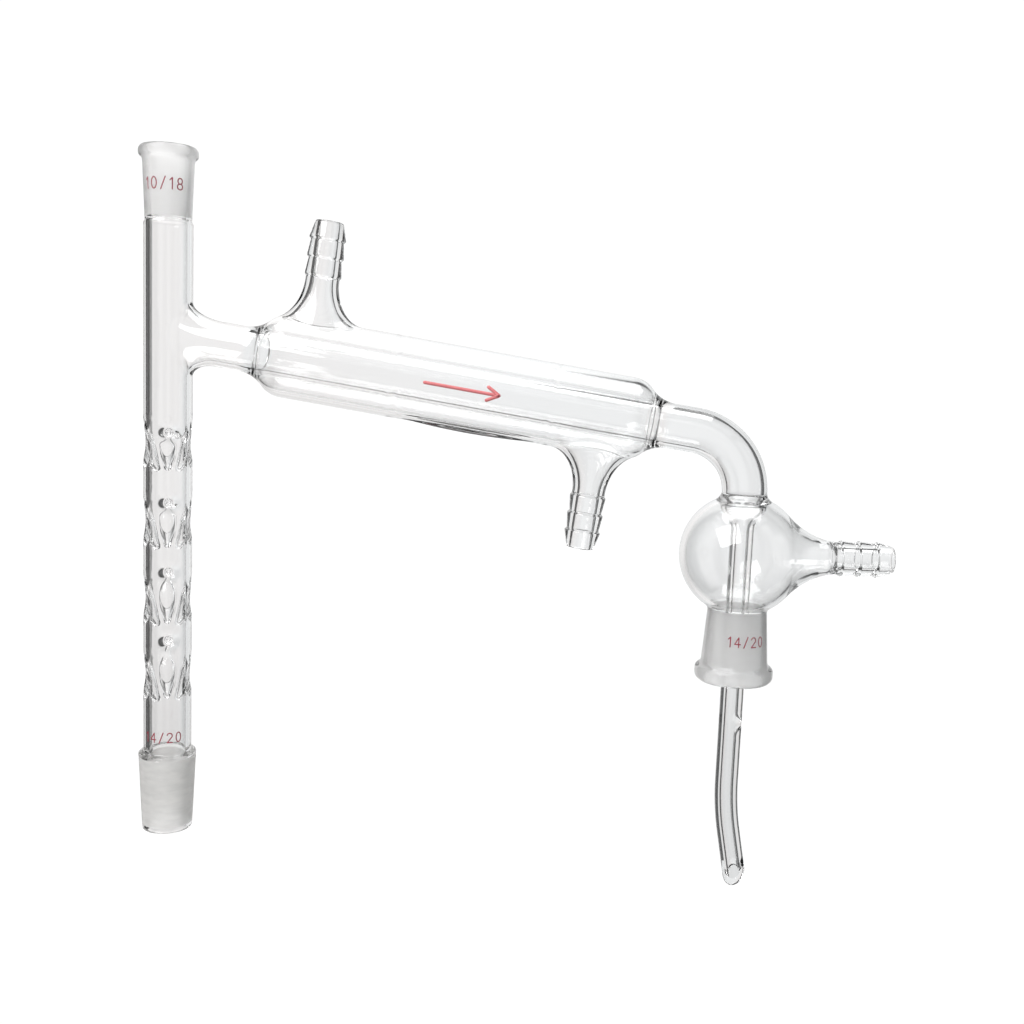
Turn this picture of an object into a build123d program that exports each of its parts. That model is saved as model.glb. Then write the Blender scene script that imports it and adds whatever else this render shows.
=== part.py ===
from build123d import *
import os
from math import cos, radians, sin, sqrt, tan

# One-piece short-path distilling head in borosilicate glass: a Vigreux column, a jacketed
# Liebig condenser, and a vacuum adapter with its drip tube.
# +Z is up along the column, +X runs from the column to the receiver, +Y is to the back.
# The origin is the centre of the flask cone's large end, where a flask's mouth sits.
# The sizes are in millimetres.

# Ground joints, which all widen by 1 in 10 on the diameter
joint_taper = 0.1
flask_joint_d = 14.5
flask_joint_length = 20.0
thermometer_joint_d = 10.0
thermometer_joint_length = 18.0
receiver_joint_d = 14.5
receiver_joint_length = 20.0
thermometer_bead_r = 1.5
thermometer_bead_reach = 7.25
thermometer_bead_fall = 1.35
rim_rounding = 0.5

# Column
column_d = 12.0
column_bore_d = 9.0
cone_shoulder = 1.6
foot_top = 13.0
vigreux_top = 89.0
column_top = 136.2
cone_bore_top_r = 5.2
cone_bore_foot_r = 4.6
thermometer_foot_r = 5.7
thermometer_neck_r = 6.3
seal_rounding = 0.8

# Vigreux dents: one to the front, and one to each side and the back, at four levels,
# with the whole pattern turned a little towards the condenser
dent_levels = 4
dent_turn = 20
front_dent_top = 84.0
front_dent_pitch = 17.7
side_dent_top = 81.0
side_dent_pitch = 20.0
dent_mouth_r = 2.3
dent_tip_r = 0.95
dent_wall = 0.7
dent_hollow_tip_r = 0.35
dent_outside = 4.4
side_dent_length = 8.0
side_dent_droop = 62.0
front_dent_length = 3.8
front_dent_droop = 12.0

# Condenser
condenser_rise = 108.2
condenser_slope = 8.0
condenser_tube_d = 11.4
condenser_bore_d = 8.6
jacket_d = 20.8
jacket_wall = 1.5
jacket_start = 25.2
jacket_length = 97.0
shoulder_slope = 45.0
ring_seal_outer_r = 8.35
water_groove_r = 6.85
side_arm_flare_end = 13.0
side_arm_flare_root = 0.5
side_arm_spread = 8.9
side_arm_side_spread = 0.2

# Trumpets: how far round its quarter turn a flare curls, and the sections that shape it
flare_curl = 0.86
flare_sections = 5

# Hose barbs, which are all alike
barb_root_r = 4.2
barb_crest_r = 4.6
barb_valley_r = 4.1
barb_tip_r = 3.6
barb_bore_r = 2.4
barb_land = 0.9
barb_step = 0.45
barb_tooth = 4.5
barb_teeth = 3
barb_tip_rounding = 0.6
barb_length = 14.3

# Water connections on the jacket
outlet_along = 36.6
inlet_along = 110.6
water_barb_lean = 6.5
water_neck_top = 20.4
water_neck_root = 9.3
water_neck_spread = 5.9
water_neck_side_spread = 0.4
water_bore_root = 7.2
water_bore_spread = 3.4
water_bore_side_spread = 0.6

# Clamp rest: a spindle of glass fused along the jacket's underside
rest_along = 78.2
rest_length = 45.0
rest_r = 1.4
rest_turn = 14.0
rest_sink = 0.7

# Elbow, vacuum bulb and receiver side
receiver_x = 146.8
bend_r = 15.5
bulb_d = 31.2
bulb_wall = 1.3
bulb_centre_z = 58.2
bulb_seal_r = 7.0
bulb_foot_r = 8.4
socket_top_r = 7.6
socket_foot_r = 8.6
socket_mouth_z = 25.2
socket_bead_r = 1.9
socket_bead_reach = 10.0
throat_r = 7.8
throat_drop = 0.8
throat_length = 2.0
socket_lead_in = 0.6
vacuum_neck_root_r = 9.6
vacuum_neck_waist_r = 6.4
vacuum_neck_waist = 17.2
vacuum_neck_wall = 1.6
vacuum_neck_end = 24.4
port_cut_inside = 0.5
port_cut_outside = 1.5
drip_d = 5.9
drip_bore_d = 2.7
drip_funnel_top = 70.2
drip_funnel_length = 4.6
drip_bend_z = -1.6
drip_bend_r = 75.0
drip_bend = 10.5
drip_tip_z = -26.4
drip_cut_side = 0.7
drip_cut_back = 0.88
vent_z = 13.9
vent_outer_r = 1.1
vent_inner_r = 0.7

# Worked out from the sizes above
column_r = column_d / 2
column_bore_r = column_bore_d / 2
tube_r = condenser_tube_d / 2
bore_r = condenser_bore_d / 2
jacket_r = jacket_d / 2
jacket_end = jacket_start + jacket_length
bulb_r = bulb_d / 2
bulb_bore_r = bulb_r - bulb_wall
drip_r = drip_d / 2
drip_bore_r = drip_bore_d / 2
slope = radians(condenser_slope)
elbow_turn = 90 - condenser_slope
corner_along = receiver_x / cos(slope)
corner_z = condenser_rise - receiver_x * tan(slope)
bend_reach = bend_r * tan(radians(elbow_turn / 2))
bend_start = corner_along - bend_reach
elbow_end_z = corner_z - bend_reach
shoulder_turn = 1 - cos(radians(shoulder_slope))
seal_arc_r = (ring_seal_outer_r - tube_r) / shoulder_turn
seal_length = seal_arc_r * sin(radians(shoulder_slope))
shoulder_arc_r = (jacket_r - ring_seal_outer_r) / shoulder_turn
shoulder_length = shoulder_arc_r * sin(radians(shoulder_slope))

# Side view of the condenser: local X runs down the condenser's axis, local Y points up from it
condenser_side = Plane(
    origin=(0, 0, condenser_rise),
    x_dir=(cos(slope), 0, -sin(slope)),
    z_dir=(0, -1, 0),
)
condenser_axis = Axis((0, 0, condenser_rise), (cos(slope), 0, -sin(slope)))
receiver_axis = Axis((receiver_x, 0, 0), (0, 0, 1))
# Cross section of the condenser at the column's axis
condenser_section = Plane(
    origin=(0, 0, condenser_rise),
    x_dir=(sin(slope), 0, cos(slope)),
    z_dir=(cos(slope), 0, -sin(slope)),
)


def down_the_condenser(along):
    """Point on the condenser's axis."""
    return (along * cos(slope), 0, condenser_rise - along * sin(slope))


def water_plane(along, up):
    """Plane on the condenser's axis, its normal along a water connection, local X along the jacket."""
    lean = radians(water_barb_lean)
    return Plane(
        origin=down_the_condenser(along),
        x_dir=(up * cos(lean), 0, -up * sin(lean)),
        z_dir=(up * sin(lean), 0, up * cos(lean)),
    )


outlet_plane = water_plane(outlet_along, 1)
inlet_plane = water_plane(inlet_along, -1)
vacuum_plane = Plane(origin=(receiver_x, 0, bulb_centre_z), x_dir=(0, 1, 0), z_dir=(1, 0, 0))


def side_view(plane):
    """Plane through the axis of a cross-section plane, with the axis as its local Y."""
    return Plane(origin=plane.origin, x_dir=plane.x_dir, z_dir=plane.x_dir.cross(plane.z_dir))


receiver_side = Plane(origin=(receiver_x, 0, 0), x_dir=(1, 0, 0), z_dir=(0, -1, 0))


def ring(outer_r, inner_r):
    """Section of a tube."""
    Circle(outer_r)
    Circle(inner_r, mode=Mode.SUBTRACT)


def hose_barb(section, root):
    """Saw teeth and a rounded tip, bored through, from a distance along the section's normal."""
    tip = root + barb_length
    tooth_roots = [root + barb_land + barb_tooth * tooth for tooth in range(barb_teeth)]
    with BuildSketch(side_view(section)) as profile:
        with BuildLine():
            edge = Line((barb_bore_r, root), (barb_root_r, root))
            for tooth_root in tooth_roots[:-1]:
                edge = Line(edge @ 1, (barb_crest_r, tooth_root))
                edge = Line(edge @ 1, (barb_valley_r, tooth_root + barb_tooth - barb_step))
            edge = Line(edge @ 1, (barb_crest_r, tooth_roots[-1]))
            edge = Line(edge @ 1, (barb_tip_r, tip - barb_tip_rounding))
            edge = TangentArc(edge @ 1, (barb_tip_r - barb_tip_rounding, tip), tangent=edge % 1)
            edge = Line(edge @ 1, (barb_bore_r, tip))
            Line(edge @ 1, (barb_bore_r, root))
        make_face()
    revolve(profile.sketch, axis=Axis(section.origin, section.z_dir))


def flare(section, end, root, end_r, spread, side_spread, mode=Mode.ADD):
    """Trumpet from a round end to an oval root, which spreads along the pipe that it joins."""
    ovals = []
    for step in range(flare_sections):
        share = step / (flare_sections - 1)
        opened = (1 - sqrt(1 - (flare_curl * share) ** 2)) / (1 - sqrt(1 - flare_curl**2))
        with BuildSketch(section.offset(end + (root - end) * share)) as oval:
            Ellipse(end_r + spread * opened, end_r + side_spread * opened)
        ovals.append(oval.sketch)
    loft(ovals, mode=mode)


def on_bulb(outer_r):
    """Outer and inner points of the bulb's wall where a cut towards its centre leaves the outside."""
    rise = sqrt(bulb_r**2 - outer_r**2)
    inward = bulb_bore_r / bulb_r
    return (outer_r, rise), (outer_r * inward, rise * inward)


with BuildPart() as flask_cone:
    cone_small_r = (flask_joint_d - joint_taper * flask_joint_length) / 2
    cone_foot = -flask_joint_length
    with BuildSketch(Plane.XZ):
        with BuildLine():
            foot = Line((cone_bore_foot_r, cone_foot), (cone_small_r - rim_rounding, cone_foot))
            rim = TangentArc(foot @ 1, (cone_small_r, cone_foot + rim_rounding), tangent=(1, 0))
            ground = Line(rim @ 1, (flask_joint_d / 2, 0))
            shoulder = TangentArc(ground @ 1, (column_r, cone_shoulder), tangent=(0, 1))
            Polyline(
                shoulder @ 1,
                (column_bore_r, cone_shoulder),
                (cone_bore_top_r, -cone_shoulder),
                foot @ 0,
            )
        make_face()
    revolve(axis=Axis.Z)

with BuildPart() as column_foot_tube:
    with BuildSketch(Plane.XY.offset(cone_shoulder)):
        ring(column_r, column_bore_r)
    extrude(amount=foot_top - cone_shoulder)

# Each dent is a hollow thorn: its plane stands on the column's wall, its normal down the thorn
dents = []
for level in range(dent_levels):
    front_z = front_dent_top - front_dent_pitch * level
    side_z = side_dent_top - side_dent_pitch * level
    dents.append((270 + dent_turn, front_z, front_dent_droop, front_dent_length))
    for bearing in (0, 90, 180):
        dents.append((bearing + dent_turn, side_z, side_dent_droop, side_dent_length))


def dent_plane(bearing, height, droop):
    """Plane on the column's wall at a bearing, looking inwards and down by the droop."""
    turn, dip = radians(bearing), radians(droop)
    return Plane(
        origin=(column_r * cos(turn), column_r * sin(turn), height),
        x_dir=(-sin(turn), cos(turn), 0),
        z_dir=(-cos(dip) * cos(turn), -cos(dip) * sin(turn), -sin(dip)),
    )


def thorn(plane, length, mouth_r, tip_r, mode):
    """Round taper along a dent, with a straight start that clears the column's wall."""
    with BuildSketch(plane.offset(-dent_outside)) as start:
        Circle(mouth_r)
    extrude(start.sketch, amount=dent_outside, mode=mode)
    with BuildSketch(plane) as mouth:
        Circle(mouth_r)
    with BuildSketch(plane.offset(length)) as tip:
        Circle(tip_r)
    loft([mouth.sketch, tip.sketch], mode=mode)


with BuildPart() as vigreux_tube:
    vigreux_length = vigreux_top - foot_top
    with BuildSketch(Plane.XY.offset(foot_top)):
        ring(column_r, column_bore_r)
    extrude(amount=vigreux_length)
    for bearing, height, droop, length in dents:
        plane = dent_plane(bearing, height, droop)
        thorn(plane, length, dent_mouth_r + dent_wall, dent_tip_r, Mode.ADD)
    with BuildSketch(Plane.XY.offset(foot_top)):
        Circle(column_r)
    extrude(amount=vigreux_length, mode=Mode.INTERSECT)
    for bearing, height, droop, length in dents:
        plane = dent_plane(bearing, height, droop)
        hollow = length - dent_wall
        thorn(plane, hollow, dent_mouth_r, dent_hollow_tip_r, Mode.SUBTRACT)

with BuildPart() as column_head_tube:
    with BuildSketch(Plane.XZ):
        with BuildLine():
            wall = Line((column_r, vigreux_top), (column_r, column_top - seal_rounding))
            seal = TangentArc(wall @ 1, (thermometer_foot_r, column_top), tangent=(0, 1))
            Polyline(
                seal @ 1,
                (column_bore_r, column_top),
                (column_bore_r, vigreux_top),
                wall @ 0,
            )
        make_face()
    revolve(axis=Axis.Z)
    with BuildSketch(condenser_section):
        Circle(bore_r)
    extrude(amount=side_arm_flare_end, mode=Mode.SUBTRACT)

with BuildPart() as thermometer_socket:
    mouth_z = column_top + thermometer_joint_length
    deep_r = (thermometer_joint_d - joint_taper * thermometer_joint_length) / 2
    bead_z = mouth_z - thermometer_bead_r
    with BuildSketch(Plane.XZ):
        with BuildLine():
            wall = Line(
                (thermometer_foot_r, column_top),
                (thermometer_neck_r, bead_z - thermometer_bead_fall),
            )
            bead = ThreePointArc(
                wall @ 1,
                (thermometer_bead_reach, bead_z),
                (thermometer_bead_reach - thermometer_bead_r, mouth_z),
            )
            Polyline(
                bead @ 1,
                (thermometer_joint_d / 2, mouth_z),
                (deep_r, column_top),
                wall @ 0,
            )
        make_face()
    revolve(axis=Axis.Z)

with BuildPart() as side_arm:
    flare(
        condenser_section,
        side_arm_flare_end,
        side_arm_flare_root,
        tube_r,
        side_arm_spread,
        side_arm_side_spread,
    )
    with BuildSketch(condenser_section.offset(side_arm_flare_end)):
        Circle(tube_r)
    extrude(amount=jacket_start - seal_length - side_arm_flare_end)
    with BuildSketch(condenser_section):
        Circle(bore_r)
    extrude(amount=jacket_start, mode=Mode.SUBTRACT)
    with BuildSketch(Plane.XY.offset(vigreux_top)):
        Circle(column_r)
    extrude(amount=column_top - vigreux_top, mode=Mode.SUBTRACT)


def ring_seal(seam, towards_jacket):
    """Seal between a plain tube, the condenser tube and the jacket, which meets it at the seam."""
    tube_end = seam - towards_jacket * seal_length
    groove_r = (water_groove_r - tube_r) / 2
    with BuildSketch(condenser_side) as profile:
        with BuildLine():
            crown = TangentArc(
                (tube_end, tube_r), (seam, ring_seal_outer_r), tangent=(towards_jacket, 0)
            )
            step = Line(crown @ 1, (seam, water_groove_r))
            groove = ThreePointArc(
                step @ 1,
                (seam - towards_jacket * groove_r, tube_r + groove_r),
                (seam, tube_r),
            )
            Polyline(groove @ 1, (seam, bore_r), (tube_end, bore_r), crown @ 0)
        make_face()
    revolve(profile.sketch, axis=condenser_axis)


with BuildPart() as upper_ring_seal:
    ring_seal(jacket_start, 1)

with BuildPart() as lower_ring_seal:
    ring_seal(jacket_end, -1)


def shoulder_line(depth):
    """The jacket's long side and its two shoulders, sunk by a depth, from its start to its end."""
    side_r = jacket_r - depth
    seam_r = ring_seal_outer_r - depth
    side = Line((jacket_start + shoulder_length, side_r), (jacket_end - shoulder_length, side_r))
    TangentArc(side @ 0, (jacket_start, seam_r), tangent=(-1, 0))
    TangentArc(side @ 1, (jacket_end, seam_r), tangent=(1, 0))
    return (jacket_start, seam_r), (jacket_end, seam_r)


# Full outer form of the jacket, which the pieces fused on its outside are trimmed to
with BuildPart() as jacket_form:
    with BuildSketch(condenser_side):
        with BuildLine():
            start, end = shoulder_line(0)
            Polyline(start, (jacket_start, 0), (jacket_end, 0), end)
        make_face()
    revolve(axis=condenser_axis)

with BuildPart() as jacket:
    with BuildSketch(condenser_side):
        with BuildLine():
            outer_start, outer_end = shoulder_line(0)
            inner_start, inner_end = shoulder_line(jacket_wall)
            Line(outer_start, inner_start)
            Line(outer_end, inner_end)
        make_face()
    revolve(axis=condenser_axis)
    for plane in (outlet_plane, inlet_plane):
        flare(
            plane,
            water_neck_top,
            water_bore_root,
            barb_bore_r,
            water_bore_spread,
            water_bore_side_spread,
            mode=Mode.SUBTRACT,
        )

with BuildPart() as condenser_tube:
    with BuildSketch(condenser_section.offset(jacket_start)):
        ring(tube_r, bore_r)
    extrude(amount=jacket_length)


def water_neck(plane):
    """Flared neck of a water connection, from the jacket's surface to the hose barb."""
    flare(
        plane,
        water_neck_top,
        water_neck_root,
        barb_root_r,
        water_neck_spread,
        water_neck_side_spread,
    )
    add(jacket_form.part, mode=Mode.SUBTRACT)
    flare(
        plane,
        water_neck_top,
        water_bore_root,
        barb_bore_r,
        water_bore_spread,
        water_bore_side_spread,
        mode=Mode.SUBTRACT,
    )


with BuildPart() as water_outlet_neck:
    water_neck(outlet_plane)

with BuildPart() as water_outlet_barb:
    hose_barb(outlet_plane, water_neck_top)

with BuildPart() as water_inlet_neck:
    water_neck(inlet_plane)

with BuildPart() as water_inlet_barb:
    hose_barb(inlet_plane, water_neck_top)

# The spindle lies along the jacket's underside, turned a little towards the front
with BuildPart() as clamp_rest:
    rest_axis_r = jacket_r - rest_sink
    turn = radians(rest_turn)
    along = condenser_side.x_dir
    outward = Vector(-sin(slope) * cos(turn), -sin(turn), -cos(slope) * cos(turn))
    centre = condenser_side.origin + along * rest_along + outward * rest_axis_r
    with BuildSketch(Plane(origin=centre, x_dir=along, z_dir=along.cross(outward))):
        with BuildLine():
            back = Line((-rest_length / 2, 0), (rest_length / 2, 0))
            ThreePointArc(back @ 0, (0, rest_r), back @ 1)
        make_face()
    revolve(axis=Axis(centre, along))
    add(jacket_form.part, mode=Mode.SUBTRACT)

with BuildPart() as elbow:
    elbow_start = jacket_end + seal_length
    with BuildLine():
        run = Line(down_the_condenser(elbow_start), down_the_condenser(bend_start))
        TangentArc(run @ 1, (receiver_x, 0, elbow_end_z), tangent=run % 1)
    with BuildSketch(condenser_section.offset(elbow_start)):
        ring(tube_r, bore_r)
    sweep()

seal_outer, seal_inner = on_bulb(bulb_seal_r)
foot_outer, foot_inner = on_bulb(bulb_foot_r)
vacuum_outer, vacuum_inner = on_bulb(vacuum_neck_root_r)

with BuildPart() as bulb_ring_seal:
    with BuildSketch(receiver_side):
        with BuildLine():
            seam = Line(
                (seal_inner[0], bulb_centre_z + seal_inner[1]),
                (seal_outer[0], bulb_centre_z + seal_outer[1]),
            )
            TangentArc((tube_r, elbow_end_z), seam @ 1, tangent=(0, -1))
            Polyline(
                (tube_r, elbow_end_z),
                (bore_r, elbow_end_z),
                (bore_r, drip_funnel_top),
                (tube_r, drip_funnel_top),
                seam @ 0,
            )
        make_face()
    revolve(axis=receiver_axis)

with BuildPart() as vacuum_bulb:
    with BuildSketch(receiver_side):
        with BuildLine():
            top = Line(
                (seal_inner[0], bulb_centre_z + seal_inner[1]),
                (seal_outer[0], bulb_centre_z + seal_outer[1]),
            )
            bottom = Line(
                (foot_outer[0], bulb_centre_z - foot_outer[1]),
                (foot_inner[0], bulb_centre_z - foot_inner[1]),
            )
            ThreePointArc(top @ 1, (bulb_r, bulb_centre_z), bottom @ 0)
            ThreePointArc(top @ 0, (bulb_bore_r, bulb_centre_z), bottom @ 1)
        make_face()
    revolve(axis=receiver_axis)
    # The vacuum opening is cut along lines from the bulb's centre, from inside its wall to outside
    for share in (port_cut_inside, port_cut_outside):
        with BuildSketch(vacuum_plane.offset(vacuum_outer[1] * share)):
            Circle(vacuum_outer[0] * share)
    loft(mode=Mode.SUBTRACT)

with BuildPart() as vacuum_neck:
    with BuildSketch(side_view(vacuum_plane)):
        with BuildLine():
            root = Line(vacuum_inner, vacuum_outer)
            skin = ThreePointArc(
                root @ 1, (vacuum_neck_waist_r, vacuum_neck_waist), (barb_root_r, vacuum_neck_end)
            )
            end = Line(skin @ 1, (barb_bore_r, vacuum_neck_end))
            ThreePointArc(
                end @ 1,
                (vacuum_neck_waist_r - vacuum_neck_wall, vacuum_neck_waist - vacuum_neck_wall / 2),
                root @ 0,
            )
        make_face()
    revolve(axis=Axis(vacuum_plane.origin, vacuum_plane.z_dir))

with BuildPart() as vacuum_barb:
    hose_barb(vacuum_plane, vacuum_neck_end)

with BuildPart() as drip_tube:
    funnel_foot = drip_funnel_top - drip_funnel_length
    with BuildSketch(receiver_side):
        with BuildLine():
            outside = TangentArc(
                (drip_r, funnel_foot), (tube_r, drip_funnel_top), tangent=(0, 1)
            )
            inside = TangentArc(
                (drip_bore_r, funnel_foot), (bore_r, drip_funnel_top), tangent=(0, 1)
            )
            Line(outside @ 0, inside @ 0)
            Line(outside @ 1, inside @ 1)
        make_face()
    revolve(axis=receiver_axis)
    bend = radians(drip_bend)
    bend_side = drip_bend_r * (1 - cos(bend))
    bend_foot = drip_bend_z - drip_bend_r * sin(bend)
    tip_side = bend_side + (bend_foot - drip_tip_z) * tan(bend)
    tip_run = (bend_foot - drip_tip_z + 2 * drip_r) / cos(bend)
    with BuildLine():
        run = Line((receiver_x, 0, funnel_foot), (receiver_x, 0, drip_bend_z))
        turn = TangentArc(run @ 1, (receiver_x + bend_side, 0, bend_foot), tangent=run % 1)
        Line(turn @ 1, (turn @ 1) + (turn % 1) * tip_run)
    with BuildSketch(Plane(origin=(receiver_x, 0, funnel_foot), z_dir=(0, 0, -1))):
        ring(drip_r, drip_bore_r)
    sweep()
    split(
        bisect_by=Plane(
            origin=(receiver_x + tip_side, 0, drip_tip_z),
            z_dir=(-drip_cut_side, -drip_cut_back, 1),
        )
    )
    with BuildSketch(Plane(origin=(receiver_x, 0, vent_z), z_dir=(1, 0, 0)).offset(drip_bore_r)):
        Circle(vent_inner_r)
    with BuildSketch(Plane(origin=(receiver_x, 0, vent_z), z_dir=(1, 0, 0)).offset(drip_r)):
        Circle(vent_outer_r)
    loft(mode=Mode.SUBTRACT)

with BuildPart() as receiver_socket:
    deep_z = socket_mouth_z + receiver_joint_length
    deep_r = (receiver_joint_d - joint_taper * receiver_joint_length) / 2
    bead_z = socket_mouth_z + socket_bead_r
    with BuildSketch(receiver_side):
        with BuildLine():
            seam = Line(
                (foot_inner[0], bulb_centre_z - foot_inner[1]),
                (foot_outer[0], bulb_centre_z - foot_outer[1]),
            )
            throat = ThreePointArc(
                seam @ 1,
                (throat_r, bulb_centre_z - foot_outer[1] - throat_drop),
                (socket_top_r, deep_z - throat_length),
            )
            wall = Line(throat @ 1, (socket_foot_r, bead_z + socket_bead_r))
            bead = ThreePointArc(
                wall @ 1,
                (socket_bead_reach, bead_z),
                (socket_bead_reach - socket_bead_r, socket_mouth_z),
            )
            Polyline(
                bead @ 1,
                (receiver_joint_d / 2, socket_mouth_z),
                (deep_r, deep_z - socket_lead_in),
                seam @ 0,
            )
        make_face()
    revolve(axis=receiver_axis)

pieces = {
    "flask_cone": flask_cone,
    "column_foot_tube": column_foot_tube,
    "vigreux_tube": vigreux_tube,
    "column_head_tube": column_head_tube,
    "thermometer_socket": thermometer_socket,
    "side_arm": side_arm,
    "upper_ring_seal": upper_ring_seal,
    "jacket": jacket,
    "condenser_tube": condenser_tube,
    "lower_ring_seal": lower_ring_seal,
    "water_outlet_neck": water_outlet_neck,
    "water_outlet_barb": water_outlet_barb,
    "water_inlet_neck": water_inlet_neck,
    "water_inlet_barb": water_inlet_barb,
    "clamp_rest": clamp_rest,
    "elbow": elbow,
    "bulb_ring_seal": bulb_ring_seal,
    "vacuum_bulb": vacuum_bulb,
    "vacuum_neck": vacuum_neck,
    "vacuum_barb": vacuum_barb,
    "drip_tube": drip_tube,
    "receiver_socket": receiver_socket,
}
os.makedirs("parts", exist_ok=True)
for node, piece in pieces.items():
    piece.part.label = node
    export_step(piece.part, f"parts/{node}.step")
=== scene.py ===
import math

import bpy
import numpy as np
from mathutils import Matrix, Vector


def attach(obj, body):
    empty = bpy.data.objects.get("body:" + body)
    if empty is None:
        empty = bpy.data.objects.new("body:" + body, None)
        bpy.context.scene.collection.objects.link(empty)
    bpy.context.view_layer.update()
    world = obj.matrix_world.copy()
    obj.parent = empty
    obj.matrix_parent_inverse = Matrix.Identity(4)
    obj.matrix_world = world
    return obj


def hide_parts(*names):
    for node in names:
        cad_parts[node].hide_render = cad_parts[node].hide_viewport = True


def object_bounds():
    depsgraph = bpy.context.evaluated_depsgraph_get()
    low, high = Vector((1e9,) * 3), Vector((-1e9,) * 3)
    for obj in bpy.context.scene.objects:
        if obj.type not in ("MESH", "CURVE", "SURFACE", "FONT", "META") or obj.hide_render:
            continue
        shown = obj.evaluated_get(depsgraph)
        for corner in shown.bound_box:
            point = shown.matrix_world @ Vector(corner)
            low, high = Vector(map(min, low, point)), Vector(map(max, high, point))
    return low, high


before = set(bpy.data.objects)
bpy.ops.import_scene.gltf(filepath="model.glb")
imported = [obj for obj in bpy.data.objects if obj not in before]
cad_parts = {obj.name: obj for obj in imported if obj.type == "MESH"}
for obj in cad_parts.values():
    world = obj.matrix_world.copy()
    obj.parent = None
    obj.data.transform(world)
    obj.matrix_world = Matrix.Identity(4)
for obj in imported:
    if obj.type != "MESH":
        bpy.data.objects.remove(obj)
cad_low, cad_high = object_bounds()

# The glass is modelled in millimetres in the frame's own axes, and its vertices are scaled to metres.
MM = 0.001
BODY = "root"
CLEAR, GROUND, GROUND_BORE, SEAM = range(4)

# Segments round the column and round everything that hangs on the condenser and receiver axes
COLUMN_SIDES = 144
RING_SIDES = 160
# How far a fillet's handles reach towards its corner
FILLET_PULL = 0.55

# Column
COLUMN_R, COLUMN_BORE_R = 6.0, 4.5
CONE_FOOT, CONE_SHOULDER, FOOT_TOP, VIGREUX_TOP, COLUMN_TOP = -20.0, 1.6, 13.0, 89.0, 136.2
SOCKET_TOP = 154.2
SEAL_ROUND = 0.8
SOCKET_FOOT_R = 5.7

# Vigreux dents: bearings in quarter turns from DENT_TURN, height of the top one and pitch down,
# then the mouth's radius, how far it flares, the length, and the droop in degrees
SIDE_DENTS = {
    "bearings": (0, 1, 2), "top": 81.0, "pitch": 20.0,
    "mouth": 2.3, "spread": 0.9, "length": 8.0, "droop": 62.0,
}
FRONT_DENTS = {
    "bearings": (3,), "top": 84.0, "pitch": 17.7,
    "mouth": 0.9, "spread": 2.4, "length": 4.4, "droop": 0.0,
}
DENT_LEVELS, DENT_TURN = 4, math.radians(20.0)
DENT_TIP_R, DENT_WALL, DENT_HOLLOW_TIP_R = 0.95, 0.7, 0.35
# Height of a row of the Vigreux tube's grid, and half the columns that a dent takes out of it
DENT_ROWS, DENT_OPENING = 0.5, 18

# Condenser
RISE, SLOPE = 108.2, math.radians(8.0)
TUBE_R, BORE_R = 5.7, 4.3
JACKET_R, JACKET_WALL = 10.4, 1.5
JACKET_START, JACKET_END = 25.2, 122.2
SEAL_R, GROOVE_R, SEAL_LENGTH, SEAL_TURN = 8.35, 6.85, 6.4, 45
SHOULDER_LENGTH, SHOULDER_ARC = 4.95, 7.0
SIDE_ARM_FLARE_END = 13.0
ARM_WINDOW_REACH, ARM_WINDOW_HALF = 14.0, 36
# Stretches of the jacket's grid, along its axis, that the necks and the clamp rest open
OUTLET_STRETCH, REST_STRETCH, INLET_STRETCH = (26.1, 49.0), (59.4, 97.0), (98.4, 121.3)
REST_WINDOW_HALF = 15
REST_ALONG, REST_HALF, REST_R, REST_SINK = 78.2, 22.5, 1.4, 0.7
REST_TURN = math.radians(166.0)

# Hose barbs
BARB_ROOT_R, BARB_CREST_R, BARB_VALLEY_R, BARB_TIP_R, BARB_BORE_R = 4.2, 4.6, 4.1, 3.6, 2.4
BARB_LAND, BARB_STEP, BARB_TOOTH, BARB_TEETH, BARB_LENGTH = 0.9, 0.45, 4.5, 3, 14.3
OUTLET_ALONG, INLET_ALONG, BARB_LEAN, NECK_TOP = 36.6, 110.6, math.radians(6.5), 20.4

# Receiver side
RECEIVER_X, BEND_R = 146.8, 15.5
BEND_START, ELBOW_END = 134.77, 74.1
BULB_R, BULB_WALL, BULB_Z = 15.6, 1.3, 58.2
BULB_SEAL_R, BULB_FOOT_R = 7.0, 8.4
BULB_WINDOW_HALF = 22
FUNNEL_TOP, FUNNEL_FOOT, FUNNEL_ROWS = 70.2, 64.6, 16
DRIP_R, DRIP_BORE_R = 2.95, 1.35
DRIP_BEND_Z, DRIP_BEND_R, DRIP_BEND = -1.6, 75.0, math.radians(10.5)
# A point on the slanting cut and its normal, and how far the fire-polished lip stands out of it
DRIP_CUT_Z, DRIP_CUT, LIP_PROUD = -26.15, (-0.7, -0.88, 1.0), 0.34
VENT_Z, VENT_R = 13.9, 1.0
VENT_WINDOW_REACH, VENT_WINDOW_HALF = 3.9, 33
VACUUM_NECK_END = 24.4
NECK_BORE_R, NECK_BORE_END = 3.6, 20.5


def unit(v):
    v = np.asarray(v, float)
    return v / np.linalg.norm(v, axis=-1, keepdims=True)


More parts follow.
